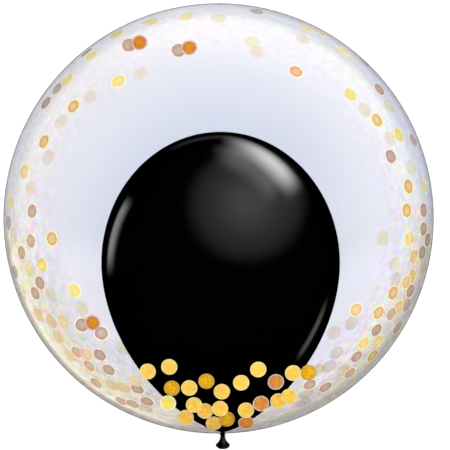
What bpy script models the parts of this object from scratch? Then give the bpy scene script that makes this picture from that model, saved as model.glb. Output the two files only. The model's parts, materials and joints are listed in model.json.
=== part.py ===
"""A double-layer confetti balloon, modelled in metres with +Z up.

A clear bubble of stretch film holds a black latex balloon and loose round foil
confetti. The latex neck comes out through the collar of the film, and its limp
nozzle hangs outside. The balloon lies on its back: its top points to +Y, its
nozzle to -Y, and the side with the gathered confetti faces up. The origin is
the middle of the small flat spot that it rests on.
"""

import math

import bmesh
import bpy
from mathutils import Matrix, Vector

# Bubble of clear film
BUBBLE_DIAMETER = 0.560
FILM_THICKNESS = 0.0002
REST_SPOT_DIAMETER = 0.090
COLLAR_LENGTH = 0.0022
COLLAR_FILLET = 0.0030
BUBBLE_SIDES = 36
BUBBLE_ROWS = 18
FILLET_ROWS = 2

# Black latex balloon, and the nozzle that hangs out of the collar
LATEX_WIDTH = 0.3106
LATEX_CROWN_HEIGHT = 0.1710
LATEX_SHOULDER_HEIGHT = 0.2200
LATEX_SHOULDER_POWER = 1.9
LATEX_SHOULDER_ROUNDING = 0.7
LATEX_WALL = 0.0002
LATEX_LEAN = math.radians(0.4)
LATEX_SIDES = 24
CROWN_ROWS = 7
SHOULDER_ROWS = 9
NECK_DIAMETER = 0.0056
NECK_BELOW_COLLAR = 0.0004
NOZZLE_DIAMETER = 0.0187
NOZZLE_LENGTH = 0.0100
NOZZLE_ROWS = 3
NOZZLE_BEND = math.radians(30)
LIP_THICKNESS = 0.0018
LIP_POINTS = 7

# Foil confetti
CONFETTI_DIAMETER = 0.0210
CONFETTI_THICKNESS = 0.0002
CONFETTI_SIDES = 10
GATHERED_LEAN = math.radians(18)
CLINGING_EASE = math.radians(10)
LEAN_STEP = math.radians(3)
STEEPEST_LEAN = math.radians(80)
STACK_STEP = 0.0002
COVERED_WITHIN = 0.07

# Clearances
NECK_CLEARANCE = 0.0003
POLE_CLEARANCE = 0.0015
TOUCH_GAP = 0.0003
LATEX_CLEARANCE = 0.0010
MERGE_DISTANCE = 0.00001

# Where each disc shows from above, as shares of the bubble's radius: across, towards the top
GATHERED_CONFETTI = {
    "gold": [
        (-0.34, -0.70), (-0.24, -0.68), (-0.15, -0.78), (0.00, -0.80), (0.09, -0.76),
        (0.17, -0.70), (0.33, -0.72), (-0.13, -0.86), (-0.08, -0.89), (-0.01, -0.88),
        (0.11, -0.89), (0.26, -0.85), (0.31, -0.83), (-0.17, -0.92), (-0.04, -0.95),
    ],
    "dark_gold": [(-0.23, -0.78), (-0.07, -0.75), (0.40, -0.72), (0.02, -0.93)],
    "copper": [(0.25, -0.76), (0.18, -0.86), (0.11, -0.95)],
    "yellow": [(-0.25, -0.85)],
}
CLINGING_CONFETTI = {
    "copper": [(-0.35, 0.82), (-0.12, 0.79), (-0.59, -0.47)],
    "tan": [
        (0.37, 0.67), (-0.40, 0.81), (-0.17, 0.78), (-0.64, -0.48), (-0.79, 0.55), (-0.86, 0.05),
        (-0.55, -0.52), (-0.56, -0.62), (-0.52, -0.69), (-0.39, -0.78), (0.80, 0.27),
        (0.95, 0.02), (0.72, -0.53), (0.48, -0.79),
    ],
    "gold": [
        (-0.66, 0.53), (-0.80, 0.37), (-0.77, -0.08), (-0.82, -0.20), (0.74, 0.44),
        (0.84, 0.37), (0.88, 0.13), (0.87, 0.02), (0.88, -0.11), (0.80, -0.36),
        (0.73, -0.45), (0.70, -0.65),
    ],
    "yellow": [(-0.45, 0.64), (-0.67, -0.32), (0.62, 0.56), (0.66, -0.59)],
}

# Sizes that follow from the ones above
BUBBLE_RADIUS = BUBBLE_DIAMETER / 2
NECK_RADIUS = NECK_DIAMETER / 2
DISC_RADIUS = CONFETTI_DIAMETER / 2
COLLAR_RADIUS = NECK_RADIUS + NECK_CLEARANCE + FILM_THICKNESS
COLLAR_TURN = math.asin((COLLAR_RADIUS + COLLAR_FILLET) / (BUBBLE_RADIUS + COLLAR_FILLET))
COLLAR_TOP = -(BUBBLE_RADIUS + COLLAR_FILLET) * math.cos(COLLAR_TURN)
COLLAR_MOUTH = COLLAR_TOP - COLLAR_LENGTH
CENTRE_HEIGHT = math.sqrt(BUBBLE_RADIUS**2 - (REST_SPOT_DIAMETER / 2) ** 2)
FACET_SHARE = math.cos(math.pi / BUBBLE_SIDES) * math.cos(math.pi / BUBBLE_ROWS / 2)
WALL_REACH = (BUBBLE_RADIUS - FILM_THICKNESS) * FACET_SHARE - TOUCH_GAP
SHOULDER_END = -(BUBBLE_RADIUS - FILM_THICKNESS - POLE_CLEARANCE)
WIDEST = SHOULDER_END + LATEX_SHOULDER_HEIGHT
LYING_DOWN = Matrix.Translation((0, 0, CENTRE_HEIGHT)) @ Matrix.Rotation(-math.pi / 2, 4, "X")

# Colour, roughness, metallic and alpha of each material
MATERIALS = {
    "clear_film": ((0.83, 0.86, 0.96), 0.05, 0.0, 0.35),
    "black_latex": ((0.005, 0.005, 0.005), 0.25, 0.0, 1.0),
    "gold": ((0.95, 0.60, 0.07), 0.35, 0.8, 1.0),
    "dark_gold": ((0.72, 0.38, 0.01), 0.35, 0.8, 1.0),
    "copper": ((0.70, 0.24, 0.05), 0.35, 0.8, 1.0),
    "yellow": ((0.86, 0.75, 0.08), 0.35, 0.6, 1.0),
    "tan": ((0.42, 0.30, 0.23), 0.45, 0.4, 1.0),
}


def clear_scene():
    for obj in list(bpy.data.objects):
        bpy.data.objects.remove(obj, do_unlink=True)


def make_material(name):
    colour, roughness, metallic, alpha = MATERIALS[name]
    material = bpy.data.materials.new(name)
    material.use_nodes = True
    shader = material.node_tree.nodes["Principled BSDF"]
    shader.inputs["Base Color"].default_value = (*colour, 1.0)
    shader.inputs["Roughness"].default_value = roughness
    shader.inputs["Metallic"].default_value = metallic
    shader.inputs["Alpha"].default_value = alpha
    return material


def turned_mesh(name, profile, sides):
    """The surface that an outline in X and Z sweeps about Z, its points running from top to bottom."""
    outline = bpy.data.meshes.new(name + "_outline")
    edges = [(i, i + 1) for i in range(len(profile) - 1)]
    outline.from_pydata([(x, 0.0, z) for x, z in profile], edges, [])
    spun = bpy.data.objects.new(name + "_outline", outline)
    bpy.context.scene.collection.objects.link(spun)
    screw = spun.modifiers.new("Turn", "SCREW")
    screw.steps = sides
    screw.render_steps = sides
    screw.use_merge_vertices = True
    screw.merge_threshold = MERGE_DISTANCE
    evaluated = spun.evaluated_get(bpy.context.evaluated_depsgraph_get())
    mesh = bpy.data.meshes.new_from_object(evaluated)
    bpy.data.objects.remove(spun, do_unlink=True)
    return mesh


def place(name, mesh, material, collection):
    mesh.materials.clear()
    mesh.materials.append(material)
    mesh.shade_smooth()
    obj = bpy.data.objects.new(name, mesh)
    collection.objects.link(obj)
    return obj


def bubble_profile():
    """The film's outer side: a sphere that turns through a small fillet into the collar."""
    points = []
    for row in range(BUBBLE_ROWS + 1):
        turn = (math.pi - COLLAR_TURN) * row / BUBBLE_ROWS
        points.append((BUBBLE_RADIUS * math.sin(turn), BUBBLE_RADIUS * math.cos(turn)))
    middle = COLLAR_RADIUS + COLLAR_FILLET
    for row in range(1, FILLET_ROWS + 1):
        turn = math.pi / 2 + COLLAR_TURN + (math.pi / 2 - COLLAR_TURN) * row / FILLET_ROWS
        across = middle + COLLAR_FILLET * math.cos(turn)
        points.append((across, COLLAR_TOP + COLLAR_FILLET * math.sin(turn)))
    points.append((COLLAR_RADIUS, COLLAR_MOUTH))
    return points


def flatten_on_floor(mesh):
    """Cuts the mesh off at Z = 0 and closes the cut with the flat spot."""
    work = bmesh.new()
    work.from_mesh(mesh)
    geometry = work.verts[:] + work.edges[:] + work.faces[:]
    cut = bmesh.ops.bisect_plane(
        work, geom=geometry, plane_co=(0, 0, 0), plane_no=(0, 0, 1), clear_inner=True
    )
    rim = [item for item in cut["geom_cut"] if isinstance(item, bmesh.types.BMEdge)]
    bmesh.ops.contextual_create(work, geom=rim)
    bmesh.ops.recalc_face_normals(work, faces=work.faces[:])
    work.to_mesh(mesh)
    work.free()


def make_bubble(collection):
    mesh = turned_mesh("bubble", bubble_profile(), BUBBLE_SIDES)
    mesh.transform(LYING_DOWN)
    flatten_on_floor(mesh)
    bubble = place("bubble", mesh, make_material("clear_film"), collection)
    wall = bubble.modifiers.new("Film", "SOLIDIFY")
    wall.thickness = FILM_THICKNESS
    wall.offset = -1
    wall.use_even_offset = True
    return bubble


def shoulder_radius(share):
    """The latex balloon's radius below its widest place, at a share of the way down to the neck."""
    fullness = max(1 - share**LATEX_SHOULDER_POWER, 0.0)
    return LATEX_WIDTH / 2 * fullness**LATEX_SHOULDER_ROUNDING


def latex_radius(height):
    """The latex balloon's radius at a height above the bubble's centre, along the balloon's axis."""
    if height > WIDEST:
        rise = min((height - WIDEST) / LATEX_CROWN_HEIGHT, 1.0)
        return LATEX_WIDTH / 2 * math.sqrt(1 - rise**2)
    drop = (WIDEST - height) / LATEX_SHOULDER_HEIGHT
    return max(shoulder_radius(min(drop, 1.0)), NECK_RADIUS)


def latex_side():
    """The latex balloon's outer side, from the crown down to where the lip begins."""
    points = []
    for row in range(CROWN_ROWS):
        turn = math.pi / 2 * row / CROWN_ROWS
        rise = LATEX_CROWN_HEIGHT * math.cos(turn)
        points.append((LATEX_WIDTH / 2 * math.sin(turn), WIDEST + rise))
    fullness = (NECK_DIAMETER / LATEX_WIDTH) ** (1 / LATEX_SHOULDER_ROUNDING)
    last_share = (1 - fullness) ** (1 / LATEX_SHOULDER_POWER)
    last_turn = math.asin(last_share)
    for row in range(SHOULDER_ROWS + 1):
        share = math.sin(last_turn * row / SHOULDER_ROWS)
        points.append((shoulder_radius(share), WIDEST - LATEX_SHOULDER_HEIGHT * share))
    neck_end = COLLAR_MOUTH - NECK_BELOW_COLLAR
    spread = NOZZLE_DIAMETER / 2 - LIP_THICKNESS / 2 - NECK_RADIUS
    for row in range(NOZZLE_ROWS + 1):
        share = row / NOZZLE_ROWS
        points.append((NECK_RADIUS + spread * share, neck_end - NOZZLE_LENGTH * share))
    return points


def inner_side(points, wall):
    """The same outline moved in by the wall, square to each stretch of it."""
    inner = [(0.0, points[0][1] - wall)]
    for before, here, after in zip(points, points[1:], points[2:] + points[-1:]):
        along = Vector(after) - Vector(before)
        outward = Vector((-along.y, along.x)).normalized()
        inner.append((here[0] - outward.x * wall, here[1] - outward.y * wall))
    return inner


def lip_bead(side):
    """The rolled lip, a round bead on the end of the nozzle's side, from its outer to its inner face."""
    (across, along), (across_before, along_before) = side[-1], side[-2]
    back = math.atan2(along_before - along, across_before - across)
    radius = LIP_THICKNESS / 2
    points = []
    for i in range(1, LIP_POINTS + 1):
        turn = back - 2 * math.pi * i / (LIP_POINTS + 1)
        points.append((across + radius * math.cos(turn), along + radius * math.sin(turn)))
    return points


def make_latex_balloon(collection):
    side = latex_side()
    inner = inner_side(side, LATEX_WALL)
    profile = side[:-1] + lip_bead(side) + inner[-2::-1]
    mesh = turned_mesh("latex_balloon", profile, LATEX_SIDES)
    bend_nozzle(mesh)
    lean = Matrix.Translation((0, 0, SHOULDER_END)) @ Matrix.Rotation(LATEX_LEAN, 4, "Y")
    mesh.transform(LYING_DOWN @ lean @ Matrix.Translation((0, 0, -SHOULDER_END)))
    return place("latex_balloon", mesh, make_material("black_latex"), collection)


def bend_nozzle(mesh):
    """Droops the nozzle outside the collar, evenly along its length, towards the floor."""
    start = COLLAR_MOUTH - NECK_BELOW_COLLAR
    radius = NOZZLE_LENGTH / NOZZLE_BEND
    for vertex in mesh.vertices:
        beyond = start - vertex.co.z
        if beyond <= 0:
            continue
        turn = beyond / radius
        reach = radius - vertex.co.y
        vertex.co.y = radius - reach * math.cos(turn)
        vertex.co.z = start - reach * math.sin(turn)


def disc_points(disc):
    """Points over a disc's middle plane: its centre, a ring half way out and its rim."""
    points = [disc.translation.copy()]
    for radius in (DISC_RADIUS / 2, DISC_RADIUS):
        for i in range(CONFETTI_SIDES * 2):
            turn = math.pi * i / CONFETTI_SIDES
            points.append(disc @ Vector((radius * math.cos(turn), radius * math.sin(turn), 0)))
    return points


def crosses(disc, other):
    """True unless every part of a disc that lies over the other one is clear of it, on one side."""
    to_other = other.inverted()
    points = [to_other @ point for point in disc_points(disc)]
    heights = [p.z for p in points if p.xy.length < DISC_RADIUS + TOUCH_GAP]
    apart = CONFETTI_THICKNESS + TOUCH_GAP
    return bool(heights) and min(heights) < apart and max(heights) > -apart


def stacked(disc, laid):
    """The disc, slid in from the film until it is clear of those laid before it."""
    inward = -disc.col[2].xyz * STACK_STEP
    while any(crosses(disc, other) or crosses(other, disc) for other in laid):
        disc = Matrix.Translation(inward) @ disc
    return disc


def facing(normal, centre):
    """A place at the centre whose own Z axis points along the normal."""
    return Matrix.Translation(centre) @ normal.to_track_quat("Z", "Y").to_matrix().to_4x4()


def flat_disc(across, up):
    """A disc flat against the inside of the film, seen from the bubble's centre."""
    outward = Vector((across, up, math.sqrt(max(1 - across**2 - up**2, 0.0))))
    distance = math.sqrt(WALL_REACH**2 - DISC_RADIUS**2) - CONFETTI_THICKNESS / 2
    return facing(outward, outward * distance)


def leaning_disc(across, up, lean):
    """A disc that leans out from facing up, its outer rim against the film, clear of the latex."""
    out = Vector((across, up, 0)).normalized()
    distance = math.hypot(across, up) * BUBBLE_RADIUS
    while lean < STEEPEST_LEAN:
        normal = out * math.sin(lean) + Vector((0, 0, math.cos(lean)))
        down = out * math.cos(lean) - Vector((0, 0, math.sin(lean)))
        rim = down * DISC_RADIUS + normal * CONFETTI_THICKNESS / 2
        room = WALL_REACH**2 - (distance + rim.dot(out)) ** 2
        if room > 0:
            centre = out * distance + Vector((0, 0, math.sqrt(room) - rim.z))
            disc = facing(normal, centre)
            if all(clear_of_latex(point) for point in disc_points(disc)):
                return disc
        lean += LEAN_STEP
    return flat_disc(across, up)


def lean_of(kind, across, up):
    """Gathered, copper and partly covered discs stand off the film; the others nearly lie flat on it."""
    copper = CLINGING_CONFETTI["copper"]
    if kind == "gathered" or any(math.dist((across, up), spot) < COVERED_WITHIN for spot in copper):
        return GATHERED_LEAN
    return math.asin(min(math.hypot(across, up), 1.0)) - CLINGING_EASE


def clear_of_latex(point):
    return math.hypot(point.x, point.z) > latex_radius(point.y) + LATEX_CLEARANCE


def make_confetti(collection):
    """The gathered discs and then the clinging ones, each slid clear of those before it."""
    discs = {}
    for colour in GATHERED_CONFETTI | CLINGING_CONFETTI:
        bpy.ops.mesh.primitive_cylinder_add(
            vertices=CONFETTI_SIDES, radius=DISC_RADIUS, depth=CONFETTI_THICKNESS
        )
        first = bpy.context.object
        discs[colour] = first.data
        discs[colour].materials.append(make_material(colour))
        bpy.data.objects.remove(first, do_unlink=True)
    laid = []
    for kind, places in (("gathered", GATHERED_CONFETTI), ("clinging", CLINGING_CONFETTI)):
        number = 0
        for colour, spots in places.items():
            for across, up in spots:
                number += 1
                lean = lean_of(kind, across, up)
                disc = stacked(leaning_disc(across, up, lean), laid)
                laid.append(disc)
                obj = bpy.data.objects.new(f"{kind}_confetti_{number:02d}", discs[colour])
                obj.matrix_world = Matrix.Translation((0, 0, CENTRE_HEIGHT)) @ disc
                collection.objects.link(obj)


def main():
    clear_scene()
    collection = bpy.data.collections.new("double_layer_confetti_balloon")
    bpy.context.scene.collection.children.link(collection)
    make_bubble(collection)
    make_latex_balloon(collection)
    make_confetti(collection)


main()
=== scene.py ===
"""The looks of a double-layer confetti balloon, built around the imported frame, in metres.

The balloon lies on its back: its top points to +Y, its nozzle to -Y, and the side
with the gathered confetti faces up. The camera looks straight down on it.
"""

import json
import math

import bmesh
import bpy
import numpy as np
from mathutils import Matrix, Vector, noise


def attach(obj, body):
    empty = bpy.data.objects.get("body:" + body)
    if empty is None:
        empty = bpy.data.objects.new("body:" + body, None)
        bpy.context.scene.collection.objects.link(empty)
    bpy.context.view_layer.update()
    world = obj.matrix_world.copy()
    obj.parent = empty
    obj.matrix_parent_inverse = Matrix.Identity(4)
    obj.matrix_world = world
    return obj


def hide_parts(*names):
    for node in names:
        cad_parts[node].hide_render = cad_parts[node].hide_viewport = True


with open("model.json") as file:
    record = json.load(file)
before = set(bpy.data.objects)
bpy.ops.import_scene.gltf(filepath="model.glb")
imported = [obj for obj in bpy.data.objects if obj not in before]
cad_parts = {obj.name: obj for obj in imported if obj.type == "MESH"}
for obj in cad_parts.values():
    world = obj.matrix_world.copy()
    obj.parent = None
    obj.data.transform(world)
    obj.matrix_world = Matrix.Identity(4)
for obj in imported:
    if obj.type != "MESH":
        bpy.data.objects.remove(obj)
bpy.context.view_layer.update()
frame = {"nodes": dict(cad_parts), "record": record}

# Bubble of clear film
BUBBLE_RADIUS = 0.280
FILM_THICKNESS = 0.0002
REST_SPOT_RADIUS = 0.045
REST_GAP = 0.0003
COLLAR_RADIUS = 0.0033
COLLAR_FILLET = 0.0030
COLLAR_LENGTH = 0.0022
BUBBLE_SIDES = 200
BUBBLE_ROWS = 130
FILLET_ROWS = 8
COLLAR_ROWS = 6
PLEATS = 26
PLEAT_DEPTH = 0.0005
PLEAT_WANDER = 6
PLEATS_BEGIN = 0.80
PLEATS_FULL = 0.995
PLEAT_SHARE_ON_COLLAR = 0.6
COLLAR_BLEND = 0.001
FRAY_LENGTH = 0.0030
FRAY_MEAN = 0.25
FRAY_UNEVENNESS = 1.6
FRAY_SPREAD = 0.62
MOUTH_FLARE = 0.0002
LEAST_PLEATED_RADIUS = 0.004
LEAST_FLARED_RADIUS = 0.003

# Black latex balloon, and the nozzle that hangs out of the collar
LATEX_WIDTH = 0.3106
LATEX_CROWN_HEIGHT = 0.1710
LATEX_SHOULDER_HEIGHT = 0.2200
LATEX_SHOULDER_POWER = 1.9
LATEX_SHOULDER_ROUNDING = 0.7
LATEX_WALL = 0.0002
LATEX_TO_FILM = 0.0015
LATEX_LEAN = math.radians(0.4)
LATEX_SIDES = 120
CROWN_ROWS = 44
SHOULDER_ROWS = 60
NECK_RADIUS = 0.0028
NECK_BELOW_COLLAR = 0.0004
NOZZLE_DIAMETER = 0.0187
NOZZLE_LENGTH = 0.0100
NOZZLE_ROWS = 14
NOZZLE_BEND = math.radians(30)
LIP_THICKNESS = 0.0018
LIP_POINTS = 14
LIP_WAVE_BEGINS = 0.6
LIP_WAVE_DEPTH = 0.0007
LIP_WAVES = 5
LIP_WAVE_GROUPS = 2
LIP_WAVE_TURN = 0.6
NECK_FOLDS = 11
FOLD_DEPTH = 0.00016
FOLD_REACH = 0.050
FOLD_TWIST = 40
RIPPLES_PER_FOLD = 2.6
RIPPLE_SHARE = 0.4
LEAST_FOLDED_RADIUS = 0.001

# Foil confetti
DISC_RADIUS = 0.0105
DISC_THICKNESS = 0.0002
DISC_SIDES = 40
DISC_RINGS = (0.25, 0.50, 0.70, 0.82, 0.90, 0.96, 1.0)
DISC_RIM_SHARE = 0.4
DISC_CURL = 0.0002
DISC_CURL_TURN = 7
DISC_EASE = math.radians(10)
DISC_GAP = 0.0003
LAYER_STEP = 0.0002
FLAT_SPOT_ROOM = 0.004
TURN_STEP = math.radians(137.5)
SEED_STEP = 0.618034

# Packed discs whose foil looks unlike that of the others in their slot
LOOK_OF_NODE = {
    "clinging_confetti_04": "peach",
    "clinging_confetti_21": "yellow",
    "clinging_confetti_23": "yellow",
    "clinging_confetti_26": "yellow",
}

# Black latex, at both ends of its unevenness
LATEX_BLACKS = [(0.0002, 0.0002, 0.0002), (0.0005, 0.00045, 0.00045)]
LATEX_ROUGHNESS = (0.07, 0.10)

# Foil: the light on it as seen through the film, for turning display colours into reflectances; where its
# middle, body, ring and rim meet, as shares of a disc's radius; and how far these wander and discs differ
LIGHT_ON_FOIL = 1.05
BRIGHTEST_FOIL = 0.95
FOIL_MIDDLE_ENDS = 0.25
FOIL_BODY_BEGINS = 0.55
FOIL_RING_WIDTH = 0.08
FOIL_RIM_EDGE = 0.02
FOIL_WANDER = 0.10
FOIL_SEED_SPREAD = 37
FOIL_SHADES = (0.95, 1.03)

# The floor's greys, at both ends of its unevenness
FLOOR_GREYS = [(0.90, 0.90, 0.90), (0.915, 0.915, 0.915)]

# The range that most values of a noise texture lie in, and the colour sockets of a mix node
NOISE_RANGE = (0.3, 0.7)
MIX_COLOUR_A = 6
MIX_COLOUR_B = 7
MIX_RESULT = 2

# Camera and stage
METRES_PER_PIXEL = 0.0013012
PICTURE_SIDE = 450
PICTURE_TURN = math.radians(-1.09)
CENTRE_IN_PICTURE = (218.6, 218.4)
CAMERA_HEIGHT = 22.0
SENSOR_WIDTH = 36.0
FARTHEST_SEEN = 100.0
FLOOR_SIDE = 60.0
LAMP_SIDE = 5.0
LAMP_HEIGHT = 3.0
LAMP_POWER = 60.0
ROOM_BRIGHTNESS = 1.22

# Soft boxes seen only in reflections: the side their bearings are counted from, the bearings and then
# the elevations at which each begins, is full, fades and ends, how much its elevation rises with each
# degree of bearing, and its brightness; angles in degrees
SOFT_BOXES = [
    ("+x", (34, 51, 56, 90), (-51, -26, -25, -2), -0.4, 8.4),
    ("+x", (40, 54, 76, 96), (-28, -12, -5, 19), -0.4, 1.85),
    ("-x", (-6, 10, 24, 33), (-52, -45.5, -41, -28.5), 0.25, 1.8),
    ("+x", (-39, -33, -25, -14), (-47, -41, -39, -33), -0.42, 0.66),
    ("+x", (74, 88, 104, 122), (-62, -56, -54, -46), 0.0, 0.12),
]
BOX_COLOUR = (1.03, 1.0, 0.93)

# A round glow seen only in reflections, given by the slope of latex that mirrors it upwards: its middle and
# its reach, across and towards the top, and for each of its layers the shares of that reach at which it
# begins to fade and ends, and its brightness
GLOW_MIDDLE = (0.227, 0.414)
GLOW_REACH = (0.564, 0.465)
GLOW_LAYERS = [(0.0, 0.667, 1.0), (0.576, 1.0, 0.6)]

# Sizes that follow from the ones above
CENTRE_HEIGHT = math.sqrt(BUBBLE_RADIUS**2 - REST_SPOT_RADIUS**2)
COLLAR_TURN = math.asin((COLLAR_RADIUS + COLLAR_FILLET) / (BUBBLE_RADIUS + COLLAR_FILLET))
COLLAR_TOP = -(BUBBLE_RADIUS + COLLAR_FILLET) * math.cos(COLLAR_TURN)
COLLAR_MOUTH = COLLAR_TOP - COLLAR_LENGTH
SHOULDER_END = -(BUBBLE_RADIUS - FILM_THICKNESS - LATEX_TO_FILM)
WIDEST = SHOULDER_END + LATEX_SHOULDER_HEIGHT
RAISED = Matrix.Translation((0, 0, CENTRE_HEIGHT))
LYING_DOWN = RAISED @ Matrix.Rotation(-math.pi / 2, 4, "X")
NEIGHBOUR_REACH = 3 * DISC_RADIUS

# How much light one wall of the film lets through, from seen face-on (0) to edge-on (1): its own lilac tint
# and thin grey edge-on rim, with a painted reflection in the lighter band short of the rim
FILM_CLEAR_SIDE = [
    (0.00, (0.780, 0.813, 0.903)),
    (0.25, (0.821, 0.833, 0.880)),
    (0.36, (0.839, 0.840, 0.883)),
    (0.50, (0.866, 0.854, 0.880)),
    (0.60, (0.856, 0.846, 0.860)),
    (0.65, (0.817, 0.809, 0.824)),
    (0.70, (0.757, 0.761, 0.788)),
    (0.74, (0.750, 0.748, 0.776)),
    (0.80, (0.735, 0.732, 0.760)),
    (0.865, (0.725, 0.727, 0.755)),
]
# Painted shade: a wide grey band short of the rim, for the lower right side of the film
FILM_PAINTED_SHADE_SIDE = [
    (0.00, (0.812, 0.838, 0.898)),
    (0.25, (0.837, 0.855, 0.905)),
    (0.36, (0.855, 0.854, 0.910)),
    (0.50, (0.851, 0.837, 0.879)),
    (0.60, (0.810, 0.797, 0.791)),
    (0.65, (0.770, 0.753, 0.744)),
    (0.69, (0.760, 0.750, 0.739)),
    (0.73, (0.685, 0.668, 0.651)),
    (0.77, (0.628, 0.614, 0.606)),
    (0.835, (0.653, 0.648, 0.643)),
    (0.88, (0.750, 0.745, 0.736)),
]
# Painted reflection and shade at the lower left: a lighter band short of the rim, then a wide grey band
FILM_LOWER_LEFT_PAINTED_LIGHT = [
    (0.00, (0.780, 0.813, 0.903)),
    (0.36, (0.850, 0.850, 0.893)),
    (0.46, (0.842, 0.840, 0.865)),
    (0.58, (0.850, 0.830, 0.785)),
    (0.67, (0.876, 0.852, 0.778)),
    (0.73, (0.905, 0.885, 0.835)),
    (0.77, (0.945, 0.920, 0.880)),
    (0.785, (0.890, 0.870, 0.825)),
    (0.80, (0.690, 0.675, 0.655)),
    (0.825, (0.560, 0.550, 0.535)),
    (0.86, (0.630, 0.625, 0.620)),
    (0.885, (0.800, 0.800, 0.795)),
    (0.92, (0.930, 0.935, 0.930)),
]
# Painted reflection and shade at the upper right: greyer rings short of the rim with a lighter one between
# them
FILM_UPPER_RIGHT_PAINTED_LIGHT = [
    (0.00, (0.780, 0.813, 0.903)),
    (0.25, (0.821, 0.833, 0.880)),
    (0.36, (0.832, 0.832, 0.872)),
    (0.50, (0.850, 0.842, 0.862)),
    (0.60, (0.850, 0.845, 0.860)),
    (0.65, (0.780, 0.785, 0.800)),
    (0.70, (0.710, 0.732, 0.762)),
    (0.73, (0.718, 0.735, 0.780)),
    (0.77, (0.750, 0.748, 0.765)),
    (0.80, (0.665, 0.665, 0.710)),
    (0.85, (0.645, 0.650, 0.685)),
    (0.91, (0.770, 0.770, 0.790)),
]

# Ways across the film from its middle, as seen from above with the balloon's top away
TO_NECK = (0.0, -1.0)
TO_RIGHT = (1.0, 0.0)
TO_LEFT = (-1.0, 0.0)
TO_LOWER_RIGHT = (0.70, -0.71)
TO_LOWER_LEFT = (-0.77, -0.64)
TO_UPPER_RIGHT = (0.50, 0.86)

# Sides of the film with painted reflection and shade towards their rims: a way, how far along it the side
# begins and is full, its tint
FILM_SIDES_WITH_PAINTED_LIGHT = [
    (TO_LOWER_RIGHT, (-0.05, 0.45), FILM_PAINTED_SHADE_SIDE),
    (TO_LOWER_LEFT, (0.68, 0.86), FILM_LOWER_LEFT_PAINTED_LIGHT),
    (TO_LOWER_LEFT, (-0.60, -0.84), FILM_UPPER_RIGHT_PAINTED_LIGHT),
]

# Painted lighter patches of reflection and darker patches of shade on the film: ways across it with how far
# along each the patch begins and is full, where towards the edge-on rim it fades and ends, and its tint
FILM_PAINTED_LIGHT_PATCHES = [
    (
        [((-0.883, -0.469), 0.38, 0.60), (TO_NECK, 0.02, 0.22), (TO_NECK, 0.64, 0.52)],
        (0.30, 0.42),
        (1.065, 1.055, 1.055),
    ),
    ([((0.743, -0.669), 0.50, 0.66), (TO_NECK, 0.02, 0.26)], (0.50, 0.62), (1.04, 1.04, 1.04)),
    (
        [(TO_NECK, 0.50, 0.60), (TO_RIGHT, 0.44, 0.30), (TO_LEFT, 0.44, 0.30)],
        (0.44, 0.66),
        (0.94, 0.95, 0.91),
    ),
    ([((0.927, 0.375), 0.86, 0.93)], (1.0, 1.1), (0.95, 0.955, 0.99)),
]

# How far streaks push the film's tint in or out, as a share of the way from face-on to edge-on
STREAK_DEPTH = 0.012

# The film's pastel mottling, a painted iridescent sheen, its warmer lower part, and its painted highlight,
# brighter at the upper right and darker opposite: how strong each is, and the stretches over which it sets
# in, from face-on (0) to edge-on (1) and then along its way
PASTEL_SHEEN_DEPTH = (0.65, 0.60, 0.95)
PASTEL_SHEEN_BY_EDGE = (0.22, 0.54)
PASTEL_SHEEN_TO_NECK = (-0.7, 0.3, 0.35, 1.0)
WARM_LOW_FILM = (1.0, 0.99, 0.97)
WARM_BY_EDGE = (0.42, 0.60)
WARM_TO_NECK = (0.2, 0.6)
PAINTED_HIGHLIGHT_BY_EDGE = (0.20, 0.45)
PAINTED_HIGHLIGHT_TO_UPPER_RIGHT = (0.2, 0.8, 0.965, 1.03)

# Discs that have no solid of their own, as shares of the bubble's radius: across, towards the top
NEAR_DISCS = {
    "gold_ring": [
        (-0.894, 0.233), (0.899, -0.193), (0.861, -0.312), (0.889, -0.286),
        (0.626, -0.433), (0.824, -0.426),
    ],
    "tan": [
        (-0.830, -0.282), (-0.854, -0.330), (-0.347, -0.840), (0.756, 0.583), (0.948, -0.067),
        (0.967, -0.118), (0.940, -0.176), (0.881, -0.352), (0.628, -0.653), (0.406, -0.776),
    ],
    "light_tan": [
        (-0.869, -0.088), (-0.914, -0.141), (-0.611, -0.670), (-0.581, -0.751), (-0.667, -0.607),
        (-0.467, -0.837), (-0.414, -0.851), (0.790, -0.457), (0.594, -0.728),
    ],
    "pale_tan": [
        (-0.975, -0.004), (-0.949, -0.229), (0.195, 0.956), (0.690, 0.713), (0.864, -0.418),
        (0.820, -0.522), (0.910, 0.344), (-0.601, 0.782), (-0.737, 0.615),
    ],
    "soft_yellow": [
        (0.727, -0.582), (-0.455, 0.864), (-0.575, 0.766), (-0.688, 0.654),
    ],
    "pale_yellow": [
        (-0.295, 0.918), (-0.132, 0.938), (0.421, 0.874), (0.501, 0.850), (0.589, 0.764),
        (-0.880, -0.223), (0.957, 0.131), (-0.961, 0.094),
    ],
    "pale_gold": [
        (-0.783, -0.462), (-0.727, -0.461), (-0.751, -0.534), (-0.623, -0.617), (-0.506, -0.761),
        (-0.453, -0.775), (-0.399, -0.741), (-0.842, -0.430),
    ],
}
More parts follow.
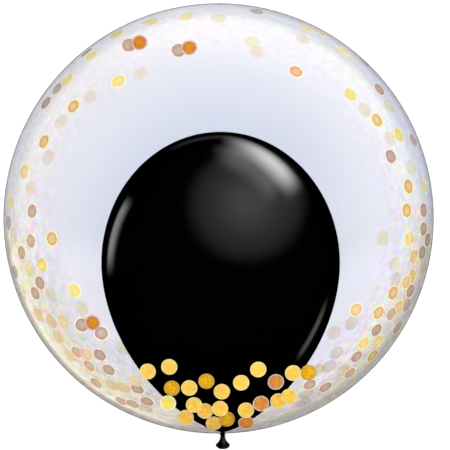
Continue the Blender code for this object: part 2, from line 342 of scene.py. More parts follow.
FAR_DISCS = {
    "faint_pink": [
        (-0.354, 0.686), (-0.591, 0.582), (-0.729, 0.467), (0.194, 0.776), (0.408, 0.831),
        (0.694, 0.495), (0.808, 0.359), (-0.792, 0.302), (-0.875, 0.159), (-0.957, -0.064),
        (-0.972, -0.108), (-0.792, -0.343), (-0.920, -0.327), (0.822, -0.302), (0.947, -0.247),
        (0.613, -0.502), (0.530, -0.545), (0.540, -0.639), (0.503, -0.702), (0.394, -0.827),
        (0.379, -0.867), (-0.361, -0.879),
    ],
    "faint_yellow": [
        (0.173, 0.823), (0.019, 0.935), (0.806, 0.511), (0.768, -0.106), (0.903, 0.216),
        (0.569, -0.719), (0.449, -0.719), (-0.704, -0.628), (-0.458, -0.597), (-0.650, -0.407),
        (0.819, -0.227),
    ],
    "gold": [(-0.22, -0.10), (0.10, -0.33), (-0.05, 0.12), (0.30, 0.02), (0.24, -0.52)],
    "tan": [(-0.33, -0.30), (0.20, -0.17), (-0.12, -0.50), (0.08, -0.66), (-0.26, 0.16)],
}


# Meshes


def new_object(name, vertices, faces, material):
    """A smooth-shaded object with its faces turned outwards."""
    mesh = bpy.data.meshes.new(name)
    mesh.from_pydata([tuple(v) for v in vertices], [], faces)
    work = bmesh.new()
    work.from_mesh(mesh)
    bmesh.ops.recalc_face_normals(work, faces=work.faces[:])
    work.to_mesh(mesh)
    work.free()
    mesh.shade_smooth()
    mesh.materials.append(material)
    obj = bpy.data.objects.new(name, mesh)
    bpy.context.scene.collection.objects.link(obj)
    return obj


def lathe(profile, sides):
    """Rings of points about Z for an outline whose two ends lie on the axis, and the faces between them."""
    rings = np.array(profile[1:-1], float)
    turns = np.arange(sides) * 2 * math.pi / sides
    points = np.empty((len(rings), sides, 3))
    points[..., 0] = rings[:, :1] * np.cos(turns)
    points[..., 1] = rings[:, :1] * np.sin(turns)
    points[..., 2] = rings[:, 1:]
    vertices = np.vstack([points.reshape(-1, 3), [(0, 0, profile[0][1]), (0, 0, profile[-1][1])]])
    first, last = len(vertices) - 2, len(vertices) - 1
    base = (len(rings) - 1) * sides
    faces = []
    for side in range(sides):
        after = (side + 1) % sides
        faces.append((first, side, after))
        faces.append((base + after, base + side, last))
        for row in range(len(rings) - 1):
            a = row * sides
            faces.append((a + side, a + sides + side, a + sides + after, a + after))
    return vertices, faces


def moved(vertices, matrix):
    """The points as the matrix moves them."""
    m = np.array(matrix)
    return vertices @ m[:3, :3].T + m[:3, 3]


def wave(phase):
    """A wave between 0 and 1."""
    return 0.5 + 0.5 * np.cos(phase)


def noise_around(turns, size, layer):
    """Smooth noise that closes on itself round the axis."""
    spots = (Vector((size * math.cos(turn), size * math.sin(turn), layer)) for turn in turns)
    return np.array([noise.noise(spot) for spot in spots])


def smooth_step(value, low, high):
    """0 up to low and 1 from high on, rising smoothly between them."""
    share = np.clip((value - low) / (high - low), 0.0, 1.0)
    return share * share * (3 - 2 * share)


def inner_side(points, wall):
    """The same outline moved in by the wall, square to each stretch of it."""
    inner = [(0.0, points[0][1] - wall)]
    for before, here, after in zip(points, points[1:], points[2:] + points[-1:]):
        along = Vector(after) - Vector(before)
        outward = Vector((-along.y, along.x)).normalized()
        inner.append((here[0] - outward.x * wall, here[1] - outward.y * wall))
    return inner


# Bubble


def bubble_side():
    """The film's outer side: a sphere that turns through a small fillet into the collar."""
    points = []
    for row in range(BUBBLE_ROWS + 1):
        turn = (math.pi - COLLAR_TURN) * math.sin(math.pi / 2 * row / BUBBLE_ROWS)
        points.append((BUBBLE_RADIUS * math.sin(turn), BUBBLE_RADIUS * math.cos(turn)))
    middle = COLLAR_RADIUS + COLLAR_FILLET
    for row in range(1, FILLET_ROWS + 1):
        turn = math.pi / 2 + COLLAR_TURN + (math.pi / 2 - COLLAR_TURN) * row / FILLET_ROWS
        points.append(
            (middle + COLLAR_FILLET * math.cos(turn), COLLAR_TOP + COLLAR_FILLET * math.sin(turn))
        )
    for row in range(1, COLLAR_ROWS + 1):
        points.append((COLLAR_RADIUS, COLLAR_TOP - COLLAR_LENGTH * row / COLLAR_ROWS))
    return points


def gather_film(vertices):
    """Draws fine pleats towards the neck and frays the collar's mouth over the nozzle."""
    turn = np.arctan2(vertices[:, 1], vertices[:, 0])
    height = vertices[:, 2]
    across = np.hypot(vertices[:, 0], vertices[:, 1])
    pleat = PLEAT_DEPTH * wave(PLEATS * turn + PLEAT_WANDER * noise_around(turn, size=3, layer=0.7))
    near_neck = smooth_step(-height / BUBBLE_RADIUS, PLEATS_BEGIN, PLEATS_FULL)
    on_collar = smooth_step(COLLAR_TOP - height, -COLLAR_BLEND, COLLAR_BLEND)
    depth = pleat * near_neck * (1 - on_collar)
    unevenness = FRAY_UNEVENNESS * noise_around(turn, size=9, layer=2.1)
    fray = FRAY_LENGTH * np.clip(FRAY_MEAN + unevenness, 0.0, 1.0)
    share = np.clip((COLLAR_TOP - height) / COLLAR_LENGTH, 0.0, 1.0)
    spread = share * share * (FRAY_SPREAD * fray + MOUTH_FLARE) + on_collar * pleat * PLEAT_SHARE_ON_COLLAR
    scale = 1 - depth / np.maximum(across, LEAST_PLEATED_RADIUS)
    scale += spread / np.maximum(across, LEAST_FLARED_RADIUS)
    vertices[:, 0] *= scale
    vertices[:, 1] *= scale
    vertices[:, 2] -= share * fray
    return vertices


def make_bubble(material):
    """The bubble: a thin hollow shell of film, pressed flat where it rests."""
    side = bubble_side()
    inner = inner_side(side, FILM_THICKNESS)
    vertices, faces = lathe(side + inner[::-1], BUBBLE_SIDES)
    vertices = moved(gather_film(vertices), LYING_DOWN)
    # The outer side's rings come first, and its pole is the last point but one
    outer = np.zeros(len(vertices), bool)
    outer[: (len(side) - 1) * BUBBLE_SIDES] = True
    outer[-2] = True
    floor = np.where(outer, REST_GAP, REST_GAP + FILM_THICKNESS)
    vertices[:, 2] = np.maximum(vertices[:, 2], floor)
    bubble = new_object("film_bubble", vertices, faces, material)
    bubble.visible_shadow = False
    bubble.visible_diffuse = False
    bubble.visible_glossy = False
    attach(bubble, "root")
    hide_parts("bubble")


# Latex balloon


def shoulder_radius(share):
    """The latex balloon's radius below its widest place, at a share of the way down to the neck."""
    fullness = max(1 - share**LATEX_SHOULDER_POWER, 0.0)
    return LATEX_WIDTH / 2 * fullness**LATEX_SHOULDER_ROUNDING


def latex_side():
    """The latex balloon's outer side, from the crown down to where the lip begins."""
    points = []
    for row in range(CROWN_ROWS):
        turn = math.pi / 2 * row / CROWN_ROWS
        rise = LATEX_CROWN_HEIGHT * math.cos(turn)
        points.append((LATEX_WIDTH / 2 * math.sin(turn), WIDEST + rise))
    fullness = (NECK_RADIUS * 2 / LATEX_WIDTH) ** (1 / LATEX_SHOULDER_ROUNDING)
    last_turn = math.asin((1 - fullness) ** (1 / LATEX_SHOULDER_POWER))
    for row in range(SHOULDER_ROWS + 1):
        share = math.sin(last_turn * row / SHOULDER_ROWS)
        points.append((shoulder_radius(share), WIDEST - LATEX_SHOULDER_HEIGHT * share))
    neck_end = COLLAR_MOUTH - NECK_BELOW_COLLAR
    spread = NOZZLE_DIAMETER / 2 - LIP_THICKNESS / 2 - NECK_RADIUS
    for row in range(NOZZLE_ROWS + 1):
        share = row / NOZZLE_ROWS
        points.append((NECK_RADIUS + spread * share, neck_end - NOZZLE_LENGTH * share))
    return points


def lip_bead(side):
    """The rolled lip, a round bead on the end of the nozzle's side."""
    (across, along), (across_before, along_before) = side[-1], side[-2]
    back = math.atan2(along_before - along, across_before - across)
    radius = LIP_THICKNESS / 2
    points = []
    for i in range(1, LIP_POINTS + 1):
        turn = back - 2 * math.pi * i / (LIP_POINTS + 1)
        points.append((across + radius * math.cos(turn), along + radius * math.sin(turn)))
    return points


def fold_latex(vertices):
    """Presses lengthwise folds into the neck and the shoulder near it, and a slight wave into the lip."""
    turn = np.arctan2(vertices[:, 1], vertices[:, 0])
    across = np.maximum(np.hypot(vertices[:, 0], vertices[:, 1]), LEAST_FOLDED_RADIUS)
    height = vertices[:, 2]
    reach = 1 - smooth_step(height, SHOULDER_END, SHOULDER_END + FOLD_REACH)
    fold = wave(NECK_FOLDS * turn + FOLD_TWIST * height)
    ripple = wave(RIPPLES_PER_FOLD * NECK_FOLDS * turn)
    depth = FOLD_DEPTH * reach * ((1 - RIPPLE_SHARE) * fold + RIPPLE_SHARE * ripple)
    scale = 1 - depth / across
    vertices[:, 0] *= scale
    vertices[:, 1] *= scale
    mouth = smooth_step((COLLAR_MOUTH - height) / NOZZLE_LENGTH, LIP_WAVE_BEGINS, 1.0)
    groups = wave(LIP_WAVE_GROUPS * turn - math.pi / 2)
    vertices[:, 2] += mouth * LIP_WAVE_DEPTH * wave(LIP_WAVES * turn + LIP_WAVE_TURN) * groups
    return vertices


def bend_nozzle(vertices):
    """Droops the nozzle outside the collar, evenly along its length, towards the floor."""
    start = COLLAR_MOUTH - NECK_BELOW_COLLAR
    radius = NOZZLE_LENGTH / NOZZLE_BEND
    beyond = np.maximum(start - vertices[:, 2], 0.0)
    turn = beyond / radius
    reach = radius - vertices[:, 1]
    out = beyond > 0
    vertices[:, 1] = np.where(out, radius - reach * np.cos(turn), vertices[:, 1])
    vertices[:, 2] = np.where(out, start - reach * np.sin(turn), vertices[:, 2])
    return vertices


def make_latex_balloon(material):
    """The black balloon with its neck, flared nozzle and rolled lip, one hollow piece."""
    side = latex_side()
    inner = inner_side(side, LATEX_WALL)
    vertices, faces = lathe(side[:-1] + lip_bead(side) + inner[-2::-1], LATEX_SIDES)
    vertices = bend_nozzle(fold_latex(vertices))
    lean = Matrix.Translation((0, 0, SHOULDER_END)) @ Matrix.Rotation(LATEX_LEAN, 4, "Y")
    vertices = moved(vertices, LYING_DOWN @ lean @ Matrix.Translation((0, 0, -SHOULDER_END)))
    balloon = new_object("black_balloon", vertices, faces, material)
    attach(balloon, "root")
    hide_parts("latex_balloon")


# Confetti


def disc_parts(place, seed):
    """One slightly cupped disc of foil: its points, its faces, and where in the disc each point is."""
    points, spots = [], []
    for side in (1, -1):
        for ring in (0.0,) + DISC_RINGS:
            for i in range(DISC_SIDES if ring else 1):
                turn = 2 * math.pi * i / DISC_SIDES
                x, y = ring * math.cos(turn), ring * math.sin(turn)
                lift = DISC_CURL * (0.5 - ring**2) * math.sin(DISC_CURL_TURN * seed + turn) * ring
                edge = DISC_THICKNESS / 2 * (1.0 if ring < 1 else DISC_RIM_SHARE)
                points.append((x * DISC_RADIUS, y * DISC_RADIUS, side * edge + lift))
                spots.append((x, y, seed))
    half = 1 + len(DISC_RINGS) * DISC_SIDES
    faces = []
    for i in range(DISC_SIDES):
        after = (i + 1) % DISC_SIDES
        for start, flip in ((0, False), (half, True)):
            rows = [(start, start + 1 + i, start + 1 + after)]
            for ring in range(len(DISC_RINGS) - 1):
                a = start + 1 + ring * DISC_SIDES
                b = a + DISC_SIDES
                rows.append((a + i, b + i, b + after, a + after))
            faces += [row[::-1] for row in rows] if flip else rows
        rim = 1 + (len(DISC_RINGS) - 1) * DISC_SIDES
        faces.append((rim + i, half + rim + i, half + rim + after, rim + after))
    return moved(np.array(points), place), faces, np.array(spots)


def disc_object(name, discs, material):
    """One piece made of the discs at these places."""
    vertices, faces, spots = [], [], []
    count = 0
    for place, seed in discs:
        points, sides, where = disc_parts(place, seed)
        vertices.append(points)
        faces += [tuple(i + count for i in face) for face in sides]
        spots.append(where)
        count += len(points)
    obj = new_object(name, np.vstack(vertices), faces, material)
    attribute = obj.data.attributes.new("in_disc", "FLOAT_VECTOR", "POINT")
    attribute.data.foreach_set("vector", np.vstack(spots).astype(np.float32).ravel())
    obj.visible_glossy = False
    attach(obj, "root")
    return obj


def seed_of(index):
    """A number from 0 to 1 that differs well from those of the discs made just before."""
    return (index * SEED_STEP) % 1.0


def facing(normal, centre, index):
    """A place at the centre whose own Z axis points along the normal, turned further for each index."""
    turned = normal.to_track_quat("Z", "Y").to_matrix().to_4x4()
    return Matrix.Translation(centre) @ turned @ Matrix.Rotation(TURN_STEP * index, 4, "Z")


def node_place(node, index):
    """Where a packed disc lies: its middle, and the outward direction that its flat side faces."""
    points = np.unique(np.array([v.co for v in node.data.vertices]).round(6), axis=0)
    middle = points.mean(axis=0)
    normal = Vector(np.linalg.svd(points - middle)[2][2])
    outward = Vector(middle) - Vector((0, 0, CENTRE_HEIGHT))
    return facing(normal if normal.dot(outward) > 0 else -normal, Vector(middle), index)


def wall_place(across, along, side, index):
    """A disc just off the film with its outer rim against it, on the near side (1) or the far one (-1)."""
    share = math.hypot(across, along)
    # Over the flat spot a disc lies level on the film
    if share * BUBBLE_RADIUS < REST_SPOT_RADIUS + FLAT_SPOT_ROOM and side < 0:
        height = REST_GAP + FILM_THICKNESS + DISC_THICKNESS - CENTRE_HEIGHT
        spot = Vector((across * BUBBLE_RADIUS, along * BUBBLE_RADIUS, height))
        return facing(Vector((0, 0, -1)), spot, index)
    reach = BUBBLE_RADIUS - FILM_THICKNESS - DISC_GAP
    out = Vector((across, along, 0)) / share
    up = Vector((0, 0, side))
    lean = math.asin(min(share, 1.0)) - DISC_EASE
    normal = out * math.sin(lean) + up * math.cos(lean)
    rim = (out * math.cos(lean) - up * math.sin(lean)) * DISC_RADIUS + normal * DISC_THICKNESS / 2
    room = reach**2 - (share * BUBBLE_RADIUS + rim.dot(out)) ** 2
    # Close to the bubble's outline there is no room for the lean, so a disc lies along the film
    if room > 0:
        middle = out * share * BUBBLE_RADIUS + up * (math.sqrt(room) - rim.dot(up))
    else:
        normal = (out * share + up * math.sqrt(max(1 - share**2, 0.0))).normalized()
        middle = normal * (math.sqrt(reach**2 - DISC_RADIUS**2) - DISC_THICKNESS)
    return facing(normal, middle, index)


def disc_points():
    """Points over a disc's middle plane: its centre, a ring half way out and its rim."""
    turns = np.arange(DISC_SIDES // 2) * 4 * math.pi / DISC_SIDES
    ring = np.stack([np.cos(turns), np.sin(turns), np.zeros_like(turns)], axis=1) * DISC_RADIUS
    return np.vstack([np.zeros((1, 3)), ring / 2, ring])


def crosses(disc, other):
    """True unless every part of a disc that lies over the other one is clear of it, on one side."""
    spots = moved(disc_points(), other.inverted() @ disc)
    heights = spots[np.hypot(spots[:, 0], spots[:, 1]) < DISC_RADIUS + DISC_GAP, 2]
    apart = DISC_THICKNESS + DISC_GAP
    return len(heights) > 0 and heights.min() < apart and heights.max() > -apart


def stacked(disc, laid):
    """The disc, slid in from the film until it is clear of those laid before it."""
    inward = -disc.col[2].xyz * LAYER_STEP
    near = [d for d in laid if (d.translation - disc.translation).length < NEIGHBOUR_REACH]
    while any(crosses(disc, other) or crosses(other, disc) for other in near):
        disc = Matrix.Translation(inward) @ disc
    return disc


def make_packed_confetti(materials):
    """A round foil disc in the place of each packed one."""
    slots = {s["node"]: s["material_slot"] for s in frame["record"]["subparts"]}
    names = sorted(n for n in frame["nodes"] if "confetti" in n)
    for index, name in enumerate(names):
        kind = name.split("_")[0]
        slot = slots[name]
        material = materials[kind, LOOK_OF_NODE.get(name, slot)]
        discs = [(node_place(frame["nodes"][name], index), seed_of(index))]
        piece = disc_object(name.replace("confetti", "disc"), discs, material)
        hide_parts(name)


def make_loose_confetti(materials):
    """The discs that have no solid, against the inside of the film on its near and far side."""
    laid = [node_place(frame["nodes"][n], 0) for n in sorted(frame["nodes"]) if "confetti" in n]
    for side, upwards, groups in (("near", 1, NEAR_DISCS), ("far", -1, FAR_DISCS)):
        for look, spots in groups.items():
            discs = []
            for across, along in spots:
                index = len(laid)
                place = stacked(RAISED @ wall_place(across, along, upwards, index), laid)
                laid.append(place)
                discs.append((place, seed_of(index)))
            disc_object(f"{side}_discs_{look}", discs, materials["loose", look])


# Materials


class Nodes:
    """Adds nodes to one node tree, and links them to each other."""

    def __init__(self, tree):
        self.tree = tree

    def add(self, kind, values=None, **settings):
        """A node with these values or links on its inputs, and with these settings."""
        node = self.tree.nodes.new(kind)
        for key, value in settings.items():
            setattr(node, key, value)
        for key, value in (values or {}).items():
            if isinstance(value, bpy.types.NodeSocket):
                self.link(value, node.inputs[key])
            else:
                node.inputs[key].default_value = value
        return node

    def link(self, output, socket):
        self.tree.links.new(output, socket)

    def math(self, operation, a, b=0.0):
        return self.add("ShaderNodeMath", {0: a, 1: b}, operation=operation).outputs["Value"]

    def join(self, x, y, z):
        return self.add("ShaderNodeCombineXYZ", {"X": x, "Y": y, "Z": z}).outputs["Vector"]

    def split(self, vector):
        parts = self.add("ShaderNodeSeparateXYZ", {"Vector": vector})
        return [parts.outputs[axis] for axis in "XYZ"]

    def length(self, vector):
        return self.add("ShaderNodeVectorMath", {0: vector}, operation="LENGTH").outputs["Value"]

    def share_along(self, where, way):
        """How far a point lies this way from the middle, as a share of the bubble's radius."""
        across, along = (part / BUBBLE_RADIUS for part in way)
        values = {0: where, 1: (across, along, 0.0)}
        return self.add("ShaderNodeVectorMath", values, operation="DOT_PRODUCT").outputs["Value"]

    def span(self, value, low, high, to_low=0.0, to_high=1.0):
        """One value at low and another at high, with a smooth change between them."""
        node = self.add(
            "ShaderNodeMapRange",
            {"Value": value, "From Min": low, "From Max": high, "To Min": to_low, "To Max": to_high},
            interpolation_type="SMOOTHSTEP",
        )
        return node.outputs["Result"]

    def ramp(self, value, stops):
        node = self.add("ShaderNodeValToRGB", {"Fac": value})
        elements = node.color_ramp.elements
        while len(elements) < len(stops):
            elements.new(0.5)
        for element, (position, colour) in zip(elements, stops):
            element.position = position
            element.color = (*colour, 1.0)
        return node.outputs["Color"]

    def mix(self, kind, share, a, b):
        node = self.add(
            "ShaderNodeMix", {"Factor": share}, data_type="RGBA", blend_type=kind, clamp_factor=True
        )
        for key, colour in ((MIX_COLOUR_A, a), (MIX_COLOUR_B, b)):
            if isinstance(colour, bpy.types.NodeSocket):
                self.link(colour, node.inputs[key])
            else:
                node.inputs[key].default_value = (*colour, 1.0)
        return node.outputs[MIX_RESULT]

    def noise(self, vector, scale, detail=2.0, roughness=0.5):
        return self.add(
            "ShaderNodeTexNoise",
            {"Vector": vector, "Scale": scale, "Detail": detail, "Roughness": roughness},
        )

    def bump(self, height, strength, distance):
        values = {"Height": height, "Strength": strength, "Distance": distance}
        return self.add("ShaderNodeBump", values).outputs["Normal"]


def new_material(name):
    """A material, what adds nodes to it, and its shader."""
    material = bpy.data.materials.new(name)
    material.use_nodes = True
    nodes = Nodes(material.node_tree)
    return material, nodes, material.node_tree.nodes["Principled BSDF"]


def film_material():
    """Clear stretch film: faintly lilac with a thin grey rim; painted shade widens the grey at the lower
    right, lower left and bottom, painted reflection lightens bands and patches, and its pastel mottling is
    a painted iridescent sheen.
    """
    material, nodes, shader = new_material("clear_film_look")
    where = nodes.add("ShaderNodeTexCoord").outputs["Object"]
    edge = nodes.add("ShaderNodeLayerWeight", {"Blend": 0.5}).outputs["Facing"]
    to_neck = nodes.share_along(where, TO_NECK)
    to_upper_right = nodes.share_along(where, TO_UPPER_RIGHT)
    streak = nodes.noise(where, scale=22).outputs["Fac"]
    wavy = nodes.math("ADD", edge, nodes.span(streak, *NOISE_RANGE, -STREAK_DEPTH, STREAK_DEPTH))
    # The film's own tint and thin grey rim, with a painted reflection short of the rim
    tint = nodes.ramp(wavy, FILM_CLEAR_SIDE)
    # Painted reflection and shade on the rims of the lower right, lower left and upper right sides
    for way, (begins, full), stops in FILM_SIDES_WITH_PAINTED_LIGHT:
        share = nodes.span(nodes.share_along(where, way), begins, full)
        tint = nodes.mix("MIX", share, tint, nodes.ramp(wavy, stops))
    warm = nodes.math("MULTIPLY", nodes.span(edge, *WARM_BY_EDGE), nodes.span(to_neck, *WARM_TO_NECK))
    tint = nodes.mix("MULTIPLY", warm, tint, WARM_LOW_FILM)
    # Painted patches: lighter ones of reflection, darker ones of shade
    for ways, (fades, ends), patch in FILM_PAINTED_LIGHT_PATCHES:
        share = nodes.span(edge, ends, fades)
        for way, begins, full in ways:
            reach = nodes.span(nodes.share_along(where, way), begins, full)
            share = nodes.math("MULTIPLY", share, reach)
        tint = nodes.mix("MULTIPLY", share, tint, patch)
    # Painted highlight and shade: lighter towards the upper right and darker opposite, away from the
    # face-on middle
    level = nodes.span(to_upper_right, *PAINTED_HIGHLIGHT_TO_UPPER_RIGHT)
    tint = nodes.mix("MULTIPLY", nodes.span(edge, *PAINTED_HIGHLIGHT_BY_EDGE), tint, nodes.join(level, level, level))
    # Pastel mottling towards the rim, a painted iridescent sheen
    blotch = nodes.noise(where, scale=95, detail=1.5)
    pastel_sheen = nodes.add(
        "ShaderNodeVectorMath",
        {0: blotch.outputs["Color"], 1: PASTEL_SHEEN_DEPTH, 2: [1 - depth / 2 for depth in PASTEL_SHEEN_DEPTH]},
        operation="MULTIPLY_ADD",
    ).outputs["Vector"]
    share = nodes.math(
        "MULTIPLY", nodes.span(edge, *PASTEL_SHEEN_BY_EDGE), nodes.span(to_neck, *PASTEL_SHEEN_TO_NECK)
    )
    nodes.link(nodes.mix("MULTIPLY", share, tint, pastel_sheen), shader.inputs["Base Color"])
    crease = nodes.noise(where, scale=30, detail=3, roughness=0.6).outputs["Fac"]
    nodes.link(nodes.bump(crease, strength=0.10, distance=0.002), shader.inputs["Normal"])
    shader.inputs["Roughness"].default_value = 0.06
    shader.inputs["IOR"].default_value = 1.01
    shader.inputs["Transmission Weight"].default_value = 1.0
    return material


def latex_material():
    """Black latex: glossy, with a slow unevenness and a very fine skin."""
    material, nodes, shader = new_material("black_latex_look")
    where = nodes.add("ShaderNodeTexCoord").outputs["Object"]
    cloud = nodes.noise(where, scale=14, detail=3).outputs["Fac"]
    nodes.link(nodes.ramp(cloud, list(zip(NOISE_RANGE, LATEX_BLACKS))), shader.inputs["Base Color"])
    nodes.link(nodes.span(cloud, *NOISE_RANGE, *LATEX_ROUGHNESS), shader.inputs["Roughness"])
    skin = nodes.noise(where, scale=900).outputs["Fac"]
    nodes.link(nodes.bump(skin, strength=0.03, distance=0.0004), shader.inputs["Normal"])
    shader.inputs["IOR"].default_value = 1.5
    return material


def shown(*levels):
    """The reflectance that shows as these 8-bit sRGB levels under the room's light and the film."""
    linear = (((level / 255 + 0.055) / 1.055) ** 2.4 for level in levels)
    return tuple(min(value / LIGHT_ON_FOIL, BRIGHTEST_FOIL) for value in linear)


def disc_material(name, middle, body, ring, rim, rim_begins=0.86, mottle=0.12, alpha=1.0, speckle=2.2):
    """Foil that changes colour from its middle to its pale rim, with a soft mottling."""
    material, nodes, shader = new_material(name)
    in_disc = nodes.add("ShaderNodeAttribute", attribute_name="in_disc").outputs["Vector"]
    x, y, seed = nodes.split(in_disc)
    radius = nodes.length(nodes.join(x, y, 0.0))
    own = nodes.join(x, y, nodes.math("MULTIPLY", seed, FOIL_SEED_SPREAD))
    blotch = nodes.noise(own, scale=speckle).outputs["Fac"]
    wander = nodes.math("MULTIPLY", nodes.math("SUBTRACT", blotch, 0.5), FOIL_WANDER)
    colour = nodes.ramp(nodes.math("ADD", radius, wander), [
        (FOIL_MIDDLE_ENDS, shown(*middle)),
        (FOIL_BODY_BEGINS, shown(*body)),
        (rim_begins - FOIL_RING_WIDTH, shown(*ring)),
        (rim_begins + FOIL_RIM_EDGE, shown(*rim)),
    ])
    shade = nodes.span(blotch, *NOISE_RANGE, 1.0 - mottle, 1.0)
    shade = nodes.math("MULTIPLY", shade, nodes.span(seed, 0.0, 1.0, *FOIL_SHADES))
    shaded = nodes.mix("MULTIPLY", 1.0, colour, nodes.join(shade, shade, shade))
    nodes.link(shaded, shader.inputs["Base Color"])
    grain = nodes.noise(own, scale=9, detail=3).outputs["Fac"]
    nodes.link(nodes.bump(grain, strength=0.15, distance=0.0003), shader.inputs["Normal"])
    shader.inputs["Roughness"].default_value = 0.45
    shader.inputs["Specular IOR Level"].default_value = 0.15
    shader.inputs["Alpha"].default_value = alpha
    return material


def confetti_materials():
    """The foils, by where the disc lies and how it looks; their colours are what the picture shows."""
    tan = disc_material(
        "tan_foil", (200, 172, 150), (183, 162, 146), (164, 142, 130), (255, 226, 206),
        rim_begins=0.85,
    )
    return {
        ("gathered", "gold"): disc_material(
            "gold_foil", (252, 196, 80), (246, 202, 78), (234, 202, 108), (248, 222, 152),
            rim_begins=0.95,
        ),
        ("gathered", "dark_gold"): disc_material(
            "dark_gold_foil", (240, 184, 6), (236, 178, 10), (216, 168, 40), (200, 156, 64),
            rim_begins=0.95, mottle=0.4, speckle=4.5,
        ),
        ("gathered", "copper"): disc_material(
            "copper_foil", (238, 144, 34), (222, 142, 62), (204, 148, 98), (240, 220, 200),
            rim_begins=0.94, mottle=0.3, speckle=4.0,
        ),
        ("gathered", "yellow"): disc_material(
            "yellow_foil", (250, 220, 86), (240, 222, 104), (230, 216, 148), (248, 242, 204),
            rim_begins=0.88,
        ),
        ("clinging", "copper"): disc_material(
            "copper_spot_foil", (226, 138, 10), (208, 132, 38), (188, 128, 84), (228, 192, 164),
            rim_begins=0.86, mottle=0.3, speckle=4.0,
        ),
        ("clinging", "tan"): tan,
        ("clinging", "gold"): disc_material(
            "gold_spot_foil", (232, 199, 146), (219, 183, 124), (194, 158, 104), (255, 238, 166),
            rim_begins=0.84,
        ),
        ("clinging", "yellow"): disc_material(
            "yellow_spot_foil", (252, 230, 136), (243, 224, 128), (232, 212, 128), (255, 246, 188),
            rim_begins=0.82, alpha=0.85,
        ),
        ("clinging", "peach"): disc_material(
            "peach_foil", (240, 184, 136), (222, 168, 120), (186, 138, 98), (255, 232, 196),
            rim_begins=0.80,
        ),
        ("loose", "gold_ring"): disc_material(
            "gold_ring_foil", (241, 210, 154), (236, 202, 142), (212, 178, 130), (255, 238, 190),
            rim_begins=0.84,
        ),
        ("loose", "tan"): tan,
        ("loose", "light_tan"): disc_material(
            "light_tan_foil", (212, 183, 162), (202, 175, 154), (186, 164, 145), (255, 232, 202),
            rim_begins=0.84,
        ),
        ("loose", "pale_tan"): disc_material(
            "pale_tan_foil", (204, 186, 178), (200, 184, 176), (194, 178, 170), (250, 236, 226),
            alpha=0.75,
        ),
        ("loose", "soft_yellow"): disc_material(
            "soft_yellow_foil", (244, 230, 140), (240, 226, 140), (236, 222, 150), (254, 246, 204),
            rim_begins=0.84, alpha=0.7,
        ),
        ("loose", "pale_yellow"): disc_material(
            "pale_yellow_foil", (246, 236, 158), (244, 232, 160), (240, 226, 170), (254, 246, 208),
            rim_begins=0.84, alpha=0.6,
        ),
        ("loose", "pale_gold"): disc_material(
            "pale_gold_foil", (232, 213, 174), (236, 218, 178), (222, 200, 160), (252, 230, 192),
            alpha=0.75,
        ),
        ("loose", "faint_pink"): disc_material(
            "faint_pink_foil", (255, 214, 160), (255, 226, 180), (252, 226, 184), (254, 240, 208),
            alpha=0.26,
        ),
        ("loose", "faint_yellow"): disc_material(
            "faint_yellow_foil", (255, 248, 100), (255, 246, 112), (255, 244, 152), (255, 246, 202),
            alpha=0.25,
        ),
        ("loose", "gold"): disc_material(
            "far_gold_foil", (236, 200, 132), (222, 184, 108), (196, 160, 98), (255, 240, 172),
            rim_begins=0.84,
        ),
    }


# Stage, light and camera


def make_floor():
    """A wide, pale and dull floor."""
    material, nodes, shader = new_material("pale_floor")
    where = nodes.add("ShaderNodeTexCoord").outputs["Object"]
    cloud = nodes.noise(where, scale=3).outputs["Fac"]
    nodes.link(nodes.ramp(cloud, list(zip(NOISE_RANGE, FLOOR_GREYS))), shader.inputs["Base Color"])
    shader.inputs["Roughness"].default_value = 0.9
    shader.inputs["Specular IOR Level"].default_value = 0.0
    half = FLOOR_SIDE / 2
    corners = [(-half, -half, 0), (half, -half, 0), (half, half, 0), (-half, half, 0)]
    floor = new_object("pale_floor", corners, [(0, 1, 2, 3)], material)
    floor.visible_glossy = False


def soft_span(nodes, value, stops):
    """1 from the second stop to the third, falling smoothly to 0 at the first and the last."""
    begins, full, fades, ends = stops
    return nodes.math("MULTIPLY", nodes.span(value, begins, full), nodes.span(value, ends, fades))


def round_glow(nodes, x, y, z):
    """The glow's brightness in a direction, from the slope of latex that mirrors it upwards."""
    # The latex faces half way between this direction and straight up, along their sum, of this length
    length = nodes.math("SQRT", nodes.math("MULTIPLY", nodes.math("ADD", z, 1.0), 2.0))
    offsets = []
    for part, middle, reach in zip((x, y), GLOW_MIDDLE, GLOW_REACH):
        slope = nodes.math("DIVIDE", part, length)
        offsets.append(nodes.math("DIVIDE", nodes.math("SUBTRACT", slope, middle), reach))
    away = nodes.length(nodes.join(*offsets, 0.0))
    total = 0.0
    for fades, ends, brightness in GLOW_LAYERS:
        total = nodes.math("ADD", total, nodes.span(away, ends, fades, 0.0, brightness))
    return total


def soft_boxes(nodes, x, y, z):
    """The soft boxes' brightness in a direction."""
    in_degrees = 180 / math.pi
    elevation = nodes.math("MULTIPLY", nodes.math("ARCSINE", z), in_degrees)
    bearings = {
        side: nodes.math("MULTIPLY", nodes.math("ARCTAN2", y, nodes.math("MULTIPLY", x, sign)), in_degrees)
        for side, sign in (("+x", 1.0), ("-x", -1.0))
    }
    total = 0.0
    for side, widths, heights, tilt, brightness in SOFT_BOXES:
        bearing = bearings[side]
        middle = (widths[1] + widths[2]) / 2
        rise = nodes.math("MULTIPLY", nodes.math("SUBTRACT", bearing, middle), -tilt)
        across = soft_span(nodes, bearing, widths)
        upwards = soft_span(nodes, nodes.math("ADD", elevation, rise), heights)
        box = nodes.math("MULTIPLY", nodes.math("MULTIPLY", across, upwards), brightness)
        total = nodes.math("ADD", total, box)
    return total


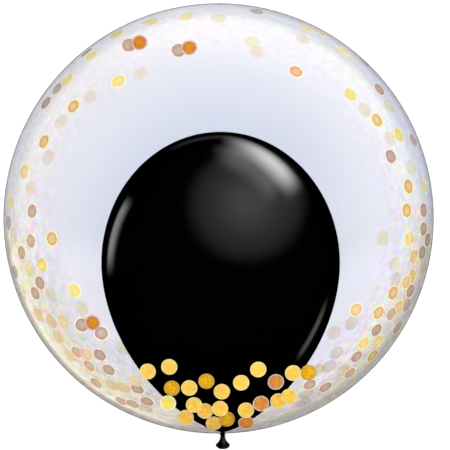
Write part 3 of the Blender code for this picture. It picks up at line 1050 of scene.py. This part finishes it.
def make_world():
    """An even white room, in which shiny things reflect only a few soft boxes and a round glow."""
    world = bpy.data.worlds.new("studio")
    bpy.context.scene.world = world
    world.use_nodes = True
    world.cycles.sampling_method = "NONE"
    nodes = Nodes(world.node_tree)
    background = world.node_tree.nodes["Background"]
    direction = nodes.split(nodes.add("ShaderNodeTexCoord").outputs["Generated"])
    shine = nodes.math("ADD", round_glow(nodes, *direction), soft_boxes(nodes, *direction))
    path = nodes.add("ShaderNodeLightPath").outputs
    mirrored = nodes.math("MULTIPLY", path["Is Glossy Ray"], path["Is Reflection Ray"])
    plain = nodes.math("MULTIPLY", nodes.math("SUBTRACT", 1.0, mirrored), ROOM_BRIGHTNESS)
    strength = nodes.math("ADD", plain, nodes.math("MULTIPLY", mirrored, shine))
    nodes.link(strength, background.inputs["Strength"])
    nodes.link(nodes.mix("MIX", mirrored, (1, 1, 1), BOX_COLOUR), background.inputs["Color"])


def make_lamp():
    """A wide soft lamp overhead."""
    light = bpy.data.lights.new("overhead", "AREA")
    light.shape = "SQUARE"
    light.size = LAMP_SIDE
    light.energy = LAMP_POWER
    lamp = bpy.data.objects.new("overhead", light)
    lamp.location = (0.0, 0.0, LAMP_HEIGHT)
    lamp.visible_glossy = False
    lamp.visible_transmission = False
    bpy.context.scene.collection.objects.link(lamp)


def make_camera():
    """The camera looks straight down from far off, turned and shifted as in the photograph."""
    camera = bpy.data.cameras.new("camera")
    depth = CAMERA_HEIGHT - CENTRE_HEIGHT
    camera.sensor_width = SENSOR_WIDTH
    camera.lens = SENSOR_WIDTH * depth / (METRES_PER_PIXEL * PICTURE_SIDE)
    camera.clip_end = FARTHEST_SEEN
    obj = bpy.data.objects.new("camera", camera)
    obj.rotation_euler = (0, 0, PICTURE_TURN)
    right = Vector((math.cos(PICTURE_TURN), math.sin(PICTURE_TURN), 0))
    up = Vector((-math.sin(PICTURE_TURN), math.cos(PICTURE_TURN), 0))
    half = PICTURE_SIDE / 2
    middle = right * (half - CENTRE_IN_PICTURE[0]) - up * (half - CENTRE_IN_PICTURE[1])
    obj.location = middle * METRES_PER_PIXEL + Vector((0, 0, CAMERA_HEIGHT))
    bpy.context.scene.collection.objects.link(obj)
    bpy.context.scene.camera = obj


def main():
    make_floor()
    make_world()
    make_lamp()
    make_camera()
    materials = confetti_materials()
    make_packed_confetti(materials)
    make_loose_confetti(materials)
    make_latex_balloon(latex_material())
    make_bubble(film_material())
    bpy.context.scene.view_settings.view_transform = "Standard"


main()
